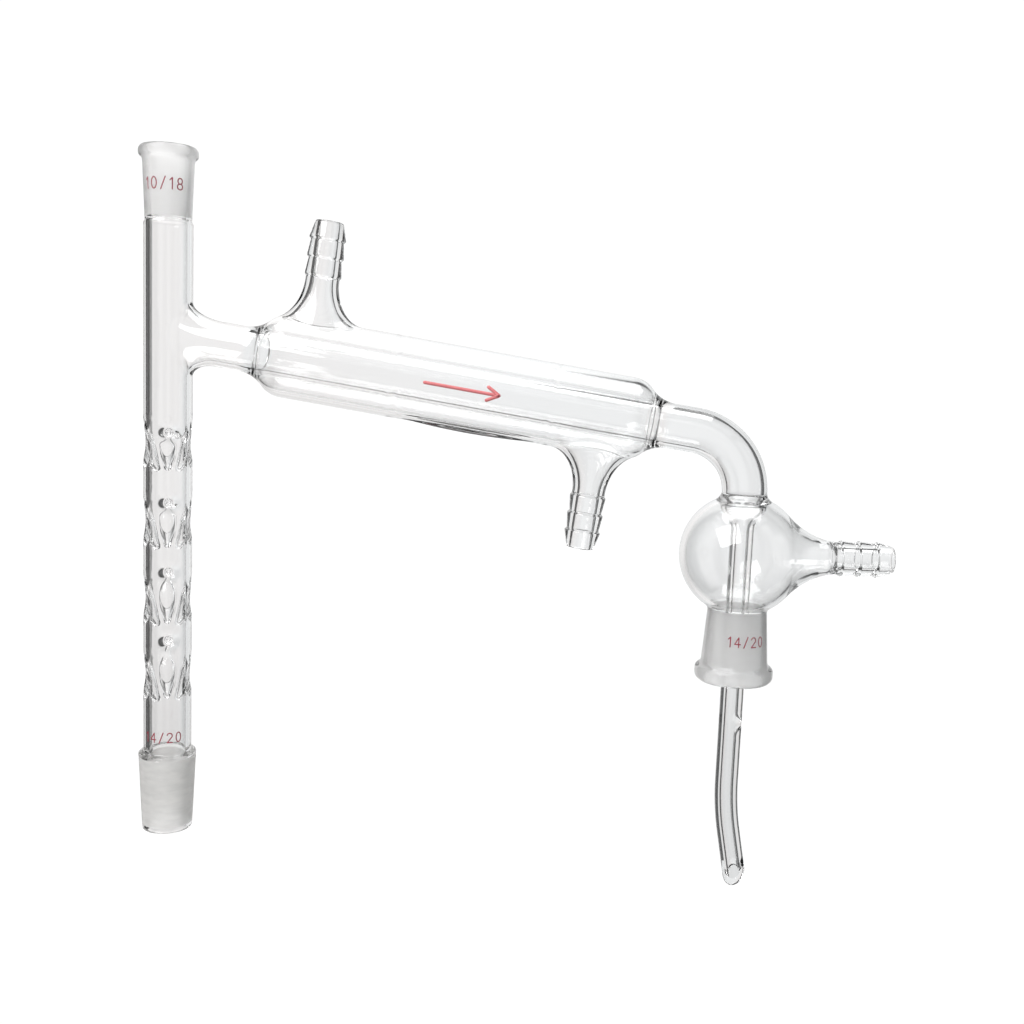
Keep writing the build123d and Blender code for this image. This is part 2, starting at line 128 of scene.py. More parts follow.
class Axis:
    """A line with a zero, a direction along it and a direction to count turns from."""

    def __init__(self, origin, along, side, sides=RING_SIDES):
        self.origin, self.sides = np.asarray(origin, float), sides
        self.z = unit(along)
        self.x = unit(np.asarray(side, float) - np.dot(side, self.z) * self.z)
        self.y = np.cross(self.z, self.x)

    def at(self, turn, height, r_x, r_y=None):
        """Points at turns about the axis, heights along it, and distances from it."""
        r_y = r_x if r_y is None else r_y
        x, y, h = np.broadcast_arrays(r_x * np.cos(turn), r_y * np.sin(turn), height)
        return self.origin + x[..., None] * self.x + y[..., None] * self.y + h[..., None] * self.z

    def ring(self, height, r):
        """A ring about the axis, or rows of rings from columns of heights and radii."""
        return self.at(turns(self.sides), height, r)

    def turn_height_r(self, p):
        """Each point's turn about the axis, height along it, and distance from it."""
        d = p - self.origin
        x, y = d @ self.x, d @ self.y
        return np.arctan2(y, x), d @ self.z, np.hypot(x, y)


def turns(sides):
    return np.arange(sides) * 2 * math.pi / sides


def spaced(start, *runs):
    """Values from the start on, through runs of (end, steps)."""
    out = [[start]]
    for end, steps in runs:
        out.append(np.linspace(start, end, steps + 1)[1:])
        start = end
    return np.concatenate(out)


def cylinder(radius):
    """The radius function of a wall that is straight."""
    return lambda height: radius + 0 * height


class Wall:
    """A surface of revolution, which pipes join and dents sink into."""

    def __init__(self, axis, radius):
        self.axis, self.radius = axis, radius

    def at(self, turn, height):
        return self.axis.at(turn, height, self.radius(height))

    def inside(self, p):
        _, height, r = self.axis.turn_height_r(p)
        return r < self.radius(height)


COLUMN = Axis((0, 0, 0), (0, 0, 1), (1, 0, 0), COLUMN_SIDES)
CONDENSER = Axis((0, 0, RISE), (math.cos(SLOPE), 0, -math.sin(SLOPE)), (0, 0, 1))
RECEIVER = Axis((RECEIVER_X, 0, 0), (0, 0, -1), (1, 0, 0))
VACUUM = Axis((RECEIVER_X, 0, BULB_Z), (1, 0, 0), (0, 0, 1))


def water_axis(along, up):
    return Axis(
        CONDENSER.origin + along * CONDENSER.z,
        (up * math.sin(BARB_LEAN), 0, up * math.cos(BARB_LEAN)),
        (1, 0, 0),
    )


OUTLET, INLET = water_axis(OUTLET_ALONG, 1), water_axis(INLET_ALONG, -1)


# ---- pieces


class Piece:
    """Faces of one piece of glass, each with its finish."""

    made = []

    def __init__(self, name, slot="clear_glass"):
        self.name, self.slot = name, slot
        self.points, self.faces, self.finish, self.count = [], [], [], 0
        Piece.made.append(self)

    def grid(self, points, finish=CLEAR, flip=False, closed=True, keep=None):
        """Quads between rows of points. With closed, each row is a ring."""
        rows, cols = points.shape[:2]
        wide = cols if closed else cols - 1
        r, c = np.meshgrid(np.arange(rows - 1), np.arange(wide), indexing="ij")
        right = (c + 1) % cols
        quads = np.stack([r * cols + c, r * cols + right, (r + 1) * cols + right, (r + 1) * cols + c], -1)
        finish = np.broadcast_to(np.asarray(finish).reshape(-1, 1), (rows - 1, wide))
        quads, finish = quads.reshape(-1, 4), finish.reshape(-1)
        if keep is not None:
            quads, finish = quads[keep.reshape(-1)], finish[keep.reshape(-1)]
        if flip:
            quads = quads[:, ::-1]
        self.faces.append(quads + self.count)
        self.finish.append(finish)
        self.points.append(points.reshape(-1, 3))
        self.count += rows * cols

    def seam(self, outer, inner, flip=False):
        """Closes the cut where this piece is fused to the next one."""
        self.grid(np.stack([outer, inner]), SEAM, flip)

    def shell(self, skin, throat):
        """A pipe from its outside and its bore, which run the same way, closed at both ends."""
        self.grid(skin)
        self.grid(throat, flip=True)
        self.close(skin, throat)

    def close(self, skin, throat):
        """Closes both ends between an outside and a bore that run the same way."""
        self.seam(skin[-1], throat[-1])
        self.seam(skin[0], throat[0], flip=True)

    def merged(self):
        """Points without repeats, and faces with three or four corners."""
        points = np.concatenate(self.points)
        keys = np.round(points + 3.17e-5, 4)
        keys, first, back = np.unique(keys, axis=0, return_index=True, return_inverse=True)
        faces = back.reshape(-1)[np.concatenate(self.faces)]
        finish = np.concatenate(self.finish)
        kept, kinds = [], []
        for face, kind in zip(faces.tolist(), finish.tolist()):
            corners = [v for i, v in enumerate(face) if v != face[i - 1]]
            if len(corners) > 2 and len(set(corners)) == len(corners):
                kept.append(corners)
                kinds.append(kind)
        used = np.unique(np.concatenate([np.array(corners) for corners in kept]))
        moved = np.full(len(keys), -1)
        moved[used] = np.arange(len(used))
        kept = [moved[corners].tolist() for corners in kept]
        return points[first][used], keys[used], kept, kinds


def curve(start, start_way, end_way, end, steps):
    """Rows along a cubic from start to end."""
    t = np.linspace(0, 1, steps).reshape((-1,) + (1,) * np.ndim(start))
    a, b, c, d = (np.asarray(p, float) for p in (start, start_way, end_way, end))
    return a * (1 - t) ** 3 + 3 * b * t * (1 - t) ** 2 + 3 * c * t**2 * (1 - t) + d * t**3


def rounded(*corners, steps=7):
    """A line of (r, height) through corners, each cut back by its third number and rounded."""
    line = [np.array(corners[0][:2], float)]
    for before, here, after in zip(corners, corners[1:], corners[2:]):
        p = np.array(here[:2], float)
        cut = here[2] if len(here) > 2 else 0
        if cut:
            start = p + unit(np.array(before[:2]) - p) * cut
            end = p + unit(np.array(after[:2]) - p) * cut
            line.extend(curve(start, (start + 2 * p) / 3, (end + 2 * p) / 3, end, steps))
        else:
            line.append(p)
    line.append(np.array(corners[-1][:2], float))
    return np.array(line)


def split_long(line, longest):
    """The same line with no stretch over the longest."""
    out = [line[0]]
    for a, b in zip(line, line[1:]):
        n = max(1, math.ceil(np.linalg.norm(b - a) / longest))
        out.extend(a + (b - a) * k / n for k in range(1, n + 1))
    return np.array(out)


def lathe(piece, axis, line, finish=CLEAR):
    """Turns a line about an axis. Outsides run along the axis and bores run back."""
    line = split_long(np.asarray(line, float), 3.0)
    points = axis.ring(line[:, 1:2], line[:, 0:1])
    piece.grid(points, finish)
    return points


def level(values, height):
    return int(np.argmin(np.abs(np.asarray(values) - height)))


def wall_grid(piece, wall, heights, windows, flip=False, warp=None):
    """A wall's grid, left open at its windows: (first column, last column, first row, last row)."""
    sides, heights = wall.axis.sides, np.asarray(heights, float)[:, None]
    turn = np.broadcast_to(turns(sides)[None, :], (len(heights), sides))
    if warp is not None:
        turn = warp(turn, heights)
    points = wall.at(turn, heights)
    keep = np.ones((len(heights) - 1, sides), bool)
    for first, last, low, high in windows:
        keep[low:high, np.arange(first, last) % sides] = False
    piece.grid(points, flip=flip, keep=keep)
    return points


def window_loop(heights, window, axis, wall):
    """The window's edge as (turn, height), from the side the branch counts its turns from."""
    first, last, low, high = window
    wide, tall = last - first, high - low
    up, down = np.arange(first, last), np.arange(last, first, -1)
    i = np.concatenate([up, np.full(tall, last), down, np.full(tall, first)])
    rise, fall = np.arange(low, high), np.arange(high, low, -1)
    j = np.concatenate([np.full(wide, low), rise, np.full(wide, high), fall])
    turn, height = i * 2 * math.pi / wall.axis.sides, np.asarray(heights, float)[j]
    branch_turn, _, _ = axis.turn_height_r(wall.at(turn, height))
    start = int(np.argmin(np.abs(branch_turn)))
    order = np.roll(np.arange(len(i)), -start)
    if branch_turn[order[1]] < branch_turn[order[0]]:
        order = np.roll(order[::-1], 1)
    return turn[order], height[order]


class Branch:
    """A round pipe, hole or thorn that leaves a wall."""

    def __init__(self, axis, radius, sides=None):
        self.axis, self.turn = axis, turns(sides or axis.sides)
        self.radius = radius if callable(radius) else cylinder(radius)

    def ring(self, along, spread=(0, 0, 0)):
        """A ring at a distance along the axis, wider by the spread: ahead, behind and to the sides."""
        along = np.broadcast_to(np.asarray(along, float), self.turn.shape)
        r = self.radius(along)
        ahead = np.where(np.cos(self.turn) > 0, spread[0], spread[1])
        return self.axis.at(self.turn, along, r + ahead, r + spread[2])

    def landing(self, wall, reach, spread):
        """How far along the axis each side of the ring crosses the wall."""
        near, far = (np.full(len(self.turn), float(t)) for t in reach)
        began = wall.inside(self.ring(near, spread))
        for _ in range(44):
            middle = (near + far) / 2
            same = wall.inside(self.ring(middle, spread)) == began
            near, far = np.where(same, middle, near), np.where(same, far, middle)
        return near

    def fillet(self, wall, reach, spread, end, steps, corner=(0, 0, 0)):
        """Rows from an oval on the wall round to the ring at end, a distance or one past the corner."""
        root = self.ring(self.landing(wall, reach, spread), spread)
        closer = tuple(s + (c - s) * 0.02 for s, c in zip(spread, corner))
        way = unit(self.ring(self.landing(wall, reach, closer), closer) - root)
        corner_at = self.landing(wall, reach, corner)
        bend = self.ring(corner_at, corner)
        last = self.ring(end(corner_at) if callable(end) else end)
        first_handle = root + FILLET_PULL * np.linalg.norm(bend - root, axis=1, keepdims=True) * way
        return curve(root, first_handle, last + FILLET_PULL * (bend - last), last, steps)


def wall_patch(wall, loop, ring, rows):
    """Rows on the wall from a window's edge to a ring inside it."""
    turn, height, _ = wall.axis.turn_height_r(ring)
    turn = loop[0] + (turn - loop[0] + math.pi) % (2 * math.pi) - math.pi
    t = np.linspace(0, 1, rows)[:, None]
    return wall.at(loop[0] + (turn - loop[0]) * t, loop[1] + (height - loop[1]) * t)


def land(piece, heights, window, axis, walls, pipes, rows):
    """Fills both walls' windows round a pipe's outside and bore, and joins the two there."""
    for wall, pipe, flip in zip(walls, pipes, (False, True)):
        loop = window_loop(heights, window, axis, wall)
        piece.grid(wall_patch(wall, loop, pipe[0], rows), flip=flip)
    piece.seam(pipes[0][0], pipes[1][0])


# ---- the column


def make_cone():
    piece = Piece("flask_cone", "ground_glass")
    mouth, ground_foot, ground_top = (4.6, CONE_FOOT + 0.8), (6.36, -18.5), (7.22, -0.3)
    outer = rounded(mouth, (4.75, CONE_FOOT, 0.35), (6.25, CONE_FOOT, 0.5), ground_foot)
    ground = np.array([ground_foot, ground_top])
    shoulder_top = (COLUMN_R, CONE_SHOULDER)
    shoulder = rounded(ground_top, (7.28, 0.45, 0.4), (COLUMN_R + 0.02, 1.0, 0.5), shoulder_top)
    bore_top = (COLUMN_BORE_R, CONE_SHOULDER)
    bore = rounded(bore_top, (COLUMN_BORE_R, 0.6, 0.9), (5.2, -1.8, 0.9), mouth)
    lathe(piece, COLUMN, outer)
    lathe(piece, COLUMN, ground, GROUND)
    top = lathe(piece, COLUMN, shoulder)
    inside = lathe(piece, COLUMN, bore)
    piece.seam(top[-1], inside[0])


def plain_tube(name, axis, low, high, outer_r, inner_r):
    piece = Piece(name)
    outside = lathe(piece, axis, [(outer_r, low), (outer_r, high)])
    inside = lathe(piece, axis, [(inner_r, high), (inner_r, low)])
    piece.seam(outside[-1], inside[0])
    piece.seam(outside[0], inside[-1], flip=True)


def dent_radius(length, mouth, tip):
    """Radius along a dent: a straight taper that ends in a round tip."""
    body = length - tip

    def radius(t):
        taper = mouth + (tip - mouth) * np.clip(t / body, 0, 1)
        return taper * np.sqrt(1 - np.clip((t - body) / tip, 0, 1) ** 2)

    return radius


def dent_window(wall, heights, turn, edge):
    """The part of the wall's grid that a dent's edge needs, with a little room round it."""
    _, edge_height, _ = wall.axis.turn_height_r(edge)
    low = level(heights, edge_height.min() - 2 * DENT_ROWS)
    high = min(level(heights, edge_height.max() + 2 * DENT_ROWS), len(heights) - 2)
    centre = round(turn / (2 * math.pi) * COLUMN_SIDES)
    return centre - DENT_OPENING, centre + DENT_OPENING, low, high


def thorn(piece, wall, heights, bearing, dent, z, hollow):
    """One dent: its pit in the outside, or its thorn inside the bore."""
    turn, dip = bearing * math.pi / 2 + DENT_TURN, math.radians(dent["droop"])
    out = np.array((math.cos(turn), math.sin(turn), 0))
    inwards = -math.cos(dip) * out - (0, 0, math.sin(dip))
    axis = Axis(COLUMN_R * out + (0, 0, z), inwards, (-math.sin(turn), math.cos(turn), 0))
    if hollow:
        length, mouth, tip = dent["length"] - DENT_WALL, dent["mouth"], DENT_HOLLOW_TIP_R
        spread, rise, reach = (dent["spread"],) * 3, dent["spread"], (-7.0, 6.5)
    else:
        length, mouth, tip = dent["length"], dent["mouth"] + DENT_WALL, DENT_TIP_R
        spread, rise, reach = (0.45,) * 3, 0.6, (-5.5, length - tip)
    radius = dent_radius(length, mouth, tip)
    probe = Branch(axis, radius, COLUMN_SIDES)
    edge = probe.ring(probe.landing(wall, reach, spread), spread)
    window = dent_window(wall, heights, turn, edge)
    branch = Branch(axis, radius, 2 * (2 * DENT_OPENING + window[3] - window[2]))
    flare = branch.fillet(wall, reach, spread, lambda c: np.minimum(c + rise, length - tip), 9)
    _, start, _ = axis.turn_height_r(flare[-1])
    share = np.sin(np.linspace(0, math.pi / 2, 16)) ** 0.9
    shaft = np.stack([branch.ring(start + (length - start) * s) for s in share])
    loop = window_loop(heights, window, axis, wall)
    patch = wall_patch(wall, loop, flare[0], 5)
    piece.grid(np.concatenate([patch, flare[1:], shaft[1:]]), flip=hollow)
    return window


def make_vigreux():
    piece = Piece("vigreux_tube")
    heights = np.linspace(FOOT_TOP, VIGREUX_TOP, int((VIGREUX_TOP - FOOT_TOP) / DENT_ROWS) + 1)
    ends = []
    for radius, hollow in ((COLUMN_R, True), (COLUMN_BORE_R, False)):
        wall = Wall(COLUMN, cylinder(radius))
        windows = []
        for dent in (SIDE_DENTS, FRONT_DENTS):
            for number in range(DENT_LEVELS):
                z = dent["top"] - dent["pitch"] * number
                for bearing in dent["bearings"]:
                    windows.append(thorn(piece, wall, heights, bearing, dent, z, hollow))
        ends.append(wall_grid(piece, wall, heights, windows, flip=not hollow))
    piece.close(*ends)


def head_radius(h):
    """Outside of the head tube, rounded where the thermometer socket is sealed on."""
    over = np.clip(h - (COLUMN_TOP - SEAL_ROUND), 0, SEAL_ROUND)
    return COLUMN_R - (COLUMN_R - SOCKET_FOOT_R) * (over / SEAL_ROUND) ** 2


def make_head_and_side_arm():
    head, arm = Piece("column_head_tube"), Piece("side_arm")
    low, high = RISE - ARM_WINDOW_REACH, RISE + ARM_WINDOW_REACH
    heights = spaced(VIGREUX_TOP, (low, 4), (high, 8), (COLUMN_TOP - SEAL_ROUND, 7), (COLUMN_TOP, 5))
    window = (-ARM_WINDOW_HALF, ARM_WINDOW_HALF, level(heights, low), level(heights, high))
    outer_wall = Wall(COLUMN, head_radius)
    inner_wall = Wall(COLUMN, cylinder(COLUMN_BORE_R))
    outer = wall_grid(head, outer_wall, heights, [window])
    inner = wall_grid(head, inner_wall, heights, [window], flip=True)
    head.close(outer, inner)
    outside, bore = Branch(CONDENSER, TUBE_R), Branch(CONDENSER, BORE_R)
    end = SIDE_ARM_FLARE_END
    skin = outside.fillet(outer_wall, (0.0, 12.0), (3.6, 3.6, 0.2), end, 22)
    throat = bore.fillet(inner_wall, (0.0, 10.0), (5.0, 5.0, -0.14), end, 22, (0, 0, -0.16))
    land(head, heights, window, CONDENSER, (outer_wall, inner_wall), (skin, throat), 6)
    straight = np.linspace(end, JACKET_START - SEAL_LENGTH, 4)[1:]
    skin = np.concatenate([skin, [outside.ring(s) for s in straight]])
    throat = np.concatenate([throat, [bore.ring(s) for s in straight]])
    arm.shell(skin, throat)


def make_thermometer_socket():
    piece = Piece("thermometer_socket", "ground_glass")
    skin = rounded(
        (SOCKET_FOOT_R, COLUMN_TOP),
        (5.72, COLUMN_TOP + 1.2, 0.8),
        (6.3, 151.0, 0.5),
        (7.25, 151.9, 0.55),
        (7.25, 153.5, 0.7),
        (6.4, SOCKET_TOP, 0.5),
        (5.2, SOCKET_TOP),
    )
    ground = [(5.2, SOCKET_TOP), (4.95, SOCKET_TOP - 0.9), (4.13, COLUMN_TOP + 1.0)]
    throat = rounded(ground[-1], (4.1, COLUMN_TOP + 0.5, 0.3), (COLUMN_BORE_R, COLUMN_TOP))
    outside = lathe(piece, COLUMN, skin)
    lathe(piece, COLUMN, ground, GROUND_BORE)
    inside = lathe(piece, COLUMN, throat)
    piece.seam(outside[0], inside[-1], flip=True)


# ---- the condenser


def jacket_radius(s):
    """Outside of the jacket: a cylinder with a rounded shoulder at each end."""
    short = np.maximum(JACKET_START + SHOULDER_LENGTH - s, s - (JACKET_END - SHOULDER_LENGTH))
    short = np.clip(short, 0, SHOULDER_ARC)
    return JACKET_R - SHOULDER_ARC + np.sqrt(SHOULDER_ARC**2 - short**2)


def rest_share(s):
    """1 along the clamp rest, and 0 away from it."""
    return np.clip((20.0 - np.abs(s - REST_ALONG)) / 6, 0, 1)


def gather(turn, s):
    """Draws the jacket's columns together under the clamp rest, which needs finer faces."""
    share = rest_share(s)
    return turn - 0.7 * share * np.sin(turn - REST_TURN)


def rest_radius(turn, s):
    """Distance of the clamp rest's skin from the condenser axis, blended into the jacket."""
    r = REST_R * np.clip(1 - ((s - REST_ALONG) / REST_HALF) ** 2, 0, 1)
    centre, away = JACKET_R - REST_SINK, turn - REST_TURN
    under = r**2 - (centre * np.sin(away)) ** 2
    rest = np.where(under > 0, centre * np.cos(away) + np.sqrt(np.maximum(under, 0)), 0)
    blend = 0.22
    h = np.maximum(blend - np.abs(rest - JACKET_R), 0) / blend
    return np.maximum(rest, JACKET_R) + h**2 * blend / 4


def ring_seal(name, seam, way):
    """Where a plain tube, the condenser tube and the jacket meet. way is 1 if the jacket follows."""
    piece = Piece(name)
    tube_end = seam - way * SEAL_LENGTH
    arc = SEAL_LENGTH / math.sin(math.radians(SEAL_TURN))
    rise = np.radians(np.linspace(0, SEAL_TURN, 16))
    widening = arc * (1 - np.cos(rise)) * (SEAL_R - TUBE_R) / (arc * (1 - math.cos(rise[-1])))
    skin = np.stack([TUBE_R + widening, tube_end + way * arc * np.sin(rise)], 1)
    groove_r = (GROOVE_R - TUBE_R) / 2
    half_turn = np.linspace(0, math.pi, 13)
    groove_at = seam - way * groove_r * 1.3 * np.sin(half_turn)
    groove = np.stack([TUBE_R + groove_r + groove_r * np.cos(half_turn), groove_at], 1)
    bore = np.array([(BORE_R, seam), (BORE_R, tube_end)])
    if way < 0:
        skin, groove, bore = skin[::-1], groove[::-1], bore[::-1]
    outside = lathe(piece, CONDENSER, skin)
    hollow = lathe(piece, CONDENSER, groove)
    inside = lathe(piece, CONDENSER, bore)
    if way > 0:
        piece.seam(outside[-1], hollow[0])
        piece.seam(hollow[-1], inside[0])
        piece.seam(outside[0], inside[-1], flip=True)
    else:
        piece.seam(outside[0], hollow[-1], flip=True)
        piece.seam(hollow[0], inside[-1], flip=True)
        piece.seam(outside[-1], inside[0])


def make_water_connection(jacket, heights, walls, name, axis, window, ahead, behind):
    """A neck and its barb. Its flare spreads further along the jacket than across it."""
    outer_wall, inner_wall = walls
    outside, bore = Branch(axis, BARB_ROOT_R), Branch(axis, BARB_BORE_R)
    skin = outside.fillet(outer_wall, (3.0, 15.0), (ahead, behind, 1.9), NECK_TOP, 24)
    throat = bore.fillet(inner_wall, (2.0, 13.0), (ahead + 1.8, behind + 1.8, 3.6), NECK_TOP, 24)
    land(jacket, heights, window, axis, walls, (skin, throat), 8)
    Piece(name + "_neck").shell(skin, throat)
    hose_barb(name + "_barb", axis, NECK_TOP)


def make_jacket_and_necks():
    jacket = Piece("jacket")
    (out_low, out_high), (rest_low, rest_high) = OUTLET_STRETCH, REST_STRETCH
    in_low, in_high = INLET_STRETCH
    outlet_rows, rest_rows = [(out_low, 2), (out_high, 40)], [(rest_low, 7), (rest_high, 56)]
    inlet_rows = [(in_low, 1), (in_high, 40), (JACKET_END, 2)]
    heights = spaced(JACKET_START, *outlet_rows, *rest_rows, *inlet_rows)
    out_window = (-20, 20, level(heights, out_low), level(heights, out_high))
    in_window = (60, 100, level(heights, in_low), level(heights, in_high))
    column = round(REST_TURN / (2 * math.pi) * RING_SIDES)
    rest_columns = (column - REST_WINDOW_HALF, column + REST_WINDOW_HALF)
    rest_window = (*rest_columns, level(heights, rest_low), level(heights, rest_high))
    windows = [out_window, in_window]
    outer_wall = Wall(CONDENSER, jacket_radius)
    inner_wall = Wall(CONDENSER, lambda s: jacket_radius(s) - JACKET_WALL)
    outer = wall_grid(jacket, outer_wall, heights, [*windows, rest_window], warp=gather)
    inner = wall_grid(jacket, inner_wall, heights, windows, flip=True)
    jacket.close(outer, inner)
    walls = outer_wall, inner_wall
    make_water_connection(jacket, heights, walls, "water_outlet", OUTLET, out_window, 7.4, 5.4)
    make_water_connection(jacket, heights, walls, "water_inlet", INLET, in_window, 5.4, 7.4)
    make_rest(jacket, heights, rest_window)


def make_rest(jacket, heights, window):
    rest = Piece("clamp_rest")
    first, last, low, high = window
    turn = turns(RING_SIDES)[None, first : last + 1]
    s = heights[low : high + 1, None]
    turn = gather(np.broadcast_to(turn, (high + 1 - low, last + 1 - first)), s)
    top, under = rest_radius(turn, s), CONDENSER.at(turn, s, JACKET_R)
    thick = top > JACKET_R + 0.0002
    covered = thick[1:, 1:] | thick[1:, :-1] | thick[:-1, 1:] | thick[:-1, :-1]
    skin = np.where(thick[..., None], CONDENSER.at(turn, s, top), under)
    jacket.grid(under, keep=~covered, closed=False)
    jacket.grid(under, SEAM, keep=covered, closed=False)
    rest.grid(skin, keep=covered, closed=False)
    rest.grid(under, SEAM, flip=True, keep=covered, closed=False)


def hose_barb(name, axis, root):
    """Saw teeth with fire-polished edges, a rounded tip and a bore."""
    piece = Piece(name)
    tip, bore_end = root + BARB_LENGTH, root + BARB_LENGTH - 1.0
    corners = [(BARB_ROOT_R, root), (BARB_ROOT_R, root + BARB_LAND - BARB_STEP, 0.12)]
    for tooth in range(BARB_TEETH):
        start = root + BARB_LAND + BARB_TOOTH * tooth
        corners.append((BARB_CREST_R, start, 0.3))
        if tooth < BARB_TEETH - 1:
            corners.append((BARB_VALLEY_R, start + BARB_TOOTH - BARB_STEP, 0.18))
    corners += [(BARB_TIP_R, tip - 0.45, 0.4), (3.2, tip, 0.3), (BARB_BORE_R, tip - 0.3, 0.25)]
    corners += [(BARB_BORE_R, bore_end)]
    outside = lathe(piece, axis, rounded(*corners, steps=8))
    inside = lathe(piece, axis, [(BARB_BORE_R, bore_end), (BARB_BORE_R, root)])
    piece.seam(outside[0], inside[-1], flip=True)


# ---- the receiver side


def make_elbow():
    piece = Piece("elbow")
    start = JACKET_END + SEAL_LENGTH
    centre = CONDENSER.at(0.0, BEND_START, -BEND_R)
    skins = []
    for r in (TUBE_R, BORE_R):
        rings = [CONDENSER.ring(s, r) for s in np.linspace(start, BEND_START, 4)[:-1]]
        for lean in np.linspace(SLOPE, math.pi / 2, 40):
            out = np.array((math.sin(lean), 0, math.cos(lean)))
            way = (math.cos(lean), 0, -math.sin(lean))
            rings.append(Axis(centre + BEND_R * out, way, out).ring(0.0, r))
        skins.append(np.array(rings))
    skins[0][-1] = RECEIVER.ring(-ELBOW_END, TUBE_R)
    skins[1][-1] = RECEIVER.ring(-ELBOW_END, BORE_R)
    piece.shell(*skins)


def halfway_curve(start, corner, end):
    """A curve whose handles reach half of the way to its corner."""
    return curve(start, (start + corner) / 2, (end + corner) / 2, end, 12)


def make_bulb_seal():
    piece = Piece("bulb_ring_seal")
    share = (BULB_R - BULB_WALL) / BULB_R
    up = math.sqrt(BULB_R**2 - BULB_SEAL_R**2)
    fall = BULB_SEAL_R / up
    outer_end = np.array((BULB_SEAL_R, -(BULB_Z + up)))
    inner_end = np.array((BULB_SEAL_R * share, -(BULB_Z + up * share)))
    outer_corner = np.array((TUBE_R, outer_end[1] - fall * (BULB_SEAL_R - TUBE_R)))
    inner_corner = np.array((TUBE_R, inner_end[1] - fall * (inner_end[0] - TUBE_R)))
    outer_start, inner_start = np.array((TUBE_R, -ELBOW_END)), np.array((TUBE_R, -FUNNEL_TOP))
    skin = halfway_curve(outer_start, outer_corner, outer_end)
    groove = halfway_curve(inner_end, inner_corner, inner_start)
    outside = lathe(piece, RECEIVER, skin)
    hollow = lathe(piece, RECEIVER, groove)
    inside = lathe(piece, RECEIVER, [(BORE_R, -FUNNEL_TOP), (BORE_R, -ELBOW_END)])
    piece.seam(outside[-1], hollow[0])
    piece.seam(hollow[-1], inside[0])
    piece.seam(outside[0], inside[-1], flip=True)


def sphere(radius):
    """The radius function of the bulb's wall."""
    return lambda height: np.sqrt(np.maximum(radius**2 - (height + BULB_Z) ** 2, 0))


def neck_shoulder():
    """Where the vacuum neck's bore narrows to the barb's, as (r, height)."""
    start, end = (NECK_BORE_R, NECK_BORE_END), (BARB_BORE_R, 24.0)
    narrowing = curve(start, (NECK_BORE_R, 22.6), (2.9, 23.3), end, 12)
    return np.vstack([narrowing, (BARB_BORE_R, VACUUM_NECK_END)])


def make_bulb_and_vacuum():
    bulb, neck = Piece("vacuum_bulb"), Piece("vacuum_neck")
    top, foot = math.asin(BULB_SEAL_R / BULB_R), math.pi - math.asin(BULB_FOOT_R / BULB_R)
    low, high = math.radians(40.0), math.radians(140.0)
    polar = spaced(top, (low, 5), (high, 36), (foot, 4))
    window = (-BULB_WINDOW_HALF, BULB_WINDOW_HALF, level(polar, low), level(polar, high))
    pipe_r = {"out": BARB_ROOT_R, "in": NECK_BORE_R}
    spreads = {"out": (6.5,) * 3, "in": (6.2,) * 3}
    ends = {"out": VACUUM_NECK_END, "in": NECK_BORE_END}
    shoulder = neck_shoulder()
    grids, rows = {}, {}
    for side, r in (("out", BULB_R), ("in", BULB_R - BULB_WALL)):
        heights = -BULB_Z - r * np.cos(polar)
        wall = Wall(RECEIVER, sphere(r))
        grids[side] = wall_grid(bulb, wall, heights, [window], flip=side == "in")
        pipe = Branch(VACUUM, pipe_r[side])
        rows[side] = pipe.fillet(wall, (2.0, 17.0), spreads[side], ends[side], 26)
        if side == "in":
            rest = VACUUM.ring(shoulder[1:, 1:2], shoulder[1:, 0:1])
            rows[side] = np.concatenate([rows[side], rest])
        loop = window_loop(heights, window, VACUUM, wall)
        bulb.grid(wall_patch(wall, loop, rows[side][0], 8), flip=side == "in")
        neck.grid(rows[side], flip=side == "in")
    bulb.close(grids["out"], grids["in"])
    bulb.seam(rows["out"][0], rows["in"][0])
    neck.close(rows["out"], rows["in"])
    hose_barb("vacuum_barb", VACUUM, VACUUM_NECK_END)


def make_receiver_socket():
    piece = Piece("receiver_socket", "ground_glass")
    share = (BULB_R - BULB_WALL) / BULB_R
    down = math.sqrt(BULB_R**2 - BULB_FOOT_R**2)
    foot = (BULB_FOOT_R, down - BULB_Z)
    skin = rounded(
        foot,
        (7.5, -44.35, 0.9),
        (8.5, -30.0, 0.7),
        (10.0, -28.9, 0.8),
        (10.0, -26.2, 1.1),
        (8.6, -25.2, 0.7),
        (7.45, -25.2, 0.3),
        (7.2, -26.2),
    )
    ground = [(7.2, -26.2), (6.27, -44.4)]
    throat = rounded(ground[1], (6.24, -45.0, 0.4), (BULB_FOOT_R * share, down * share - BULB_Z))
    outside = lathe(piece, RECEIVER, skin)
    lathe(piece, RECEIVER, ground, GROUND_BORE)
    inside = lathe(piece, RECEIVER, throat)
    piece.seam(outside[0], inside[-1], flip=True)


def drip_rings(r, line, heights):
    """Rings down the drip tube: the funnel's line, the straight run, and the bend."""
    rings = [RECEIVER.ring(h, fr) for fr, h in line]
    rings += [RECEIVER.ring(h, r) for h in heights]
    centre = np.array((RECEIVER_X + DRIP_BEND_R, 0, DRIP_BEND_Z))
    for lean in np.linspace(0, DRIP_BEND, 13)[1:]:
        back = np.array((-math.cos(lean), 0, -math.sin(lean)))
        way = (math.sin(lean), 0, -math.cos(lean))
        rings.append(Axis(centre + DRIP_BEND_R * back, way, -back).ring(0.0, r))
    return rings


def cut_off(rings, way, point, normal):
    """Carries the last ring on to a slanting cut."""
    start = rings[-1]
    reach = ((point - start) @ normal) / (way @ normal)
    return rings + [start + way * (reach * share)[:, None] for share in np.linspace(0, 1, 18)[1:]]


